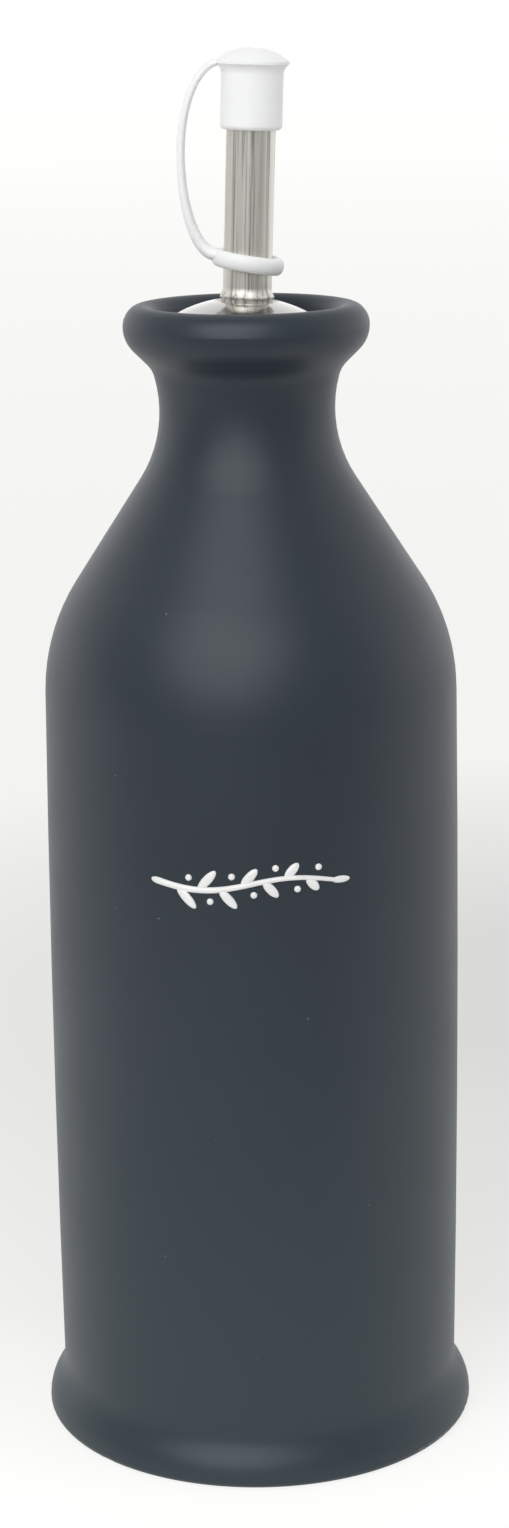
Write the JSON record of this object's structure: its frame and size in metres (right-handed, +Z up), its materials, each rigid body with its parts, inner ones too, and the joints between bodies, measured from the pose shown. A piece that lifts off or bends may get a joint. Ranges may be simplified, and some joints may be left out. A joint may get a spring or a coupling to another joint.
{
  "type": "vinegar bottle",
  "caption": "Matte stoneware cruet bottle with a rolled lip and flared foot, a steel pourer in its mouth and a soft white cap tethered to the spout.",
  "frame": {"origin": "centre of the foot, on the surface the bottle stands on", "axes": "+Z up along the bottle's axis; +X is the viewer's right in the picture, away from the cap's tether; -Y faces the viewer"},
  "size_m": [0.0828, 0.0828, 0.2602],
  "materials": {
    "stoneware": "matte slate glaze with a soft satin sheen",
    "polished_steel": "polished",
    "satin_steel": "satin, drawn along the tube",
    "white_silicone": "matte"
  },
  "bodies": {
    "root": {"bottle": "stoneware", "dome": "polished_steel", "collar": "satin_steel", "spout": "satin_steel", "cap": "white_silicone"}
  },
  "joints": []
}
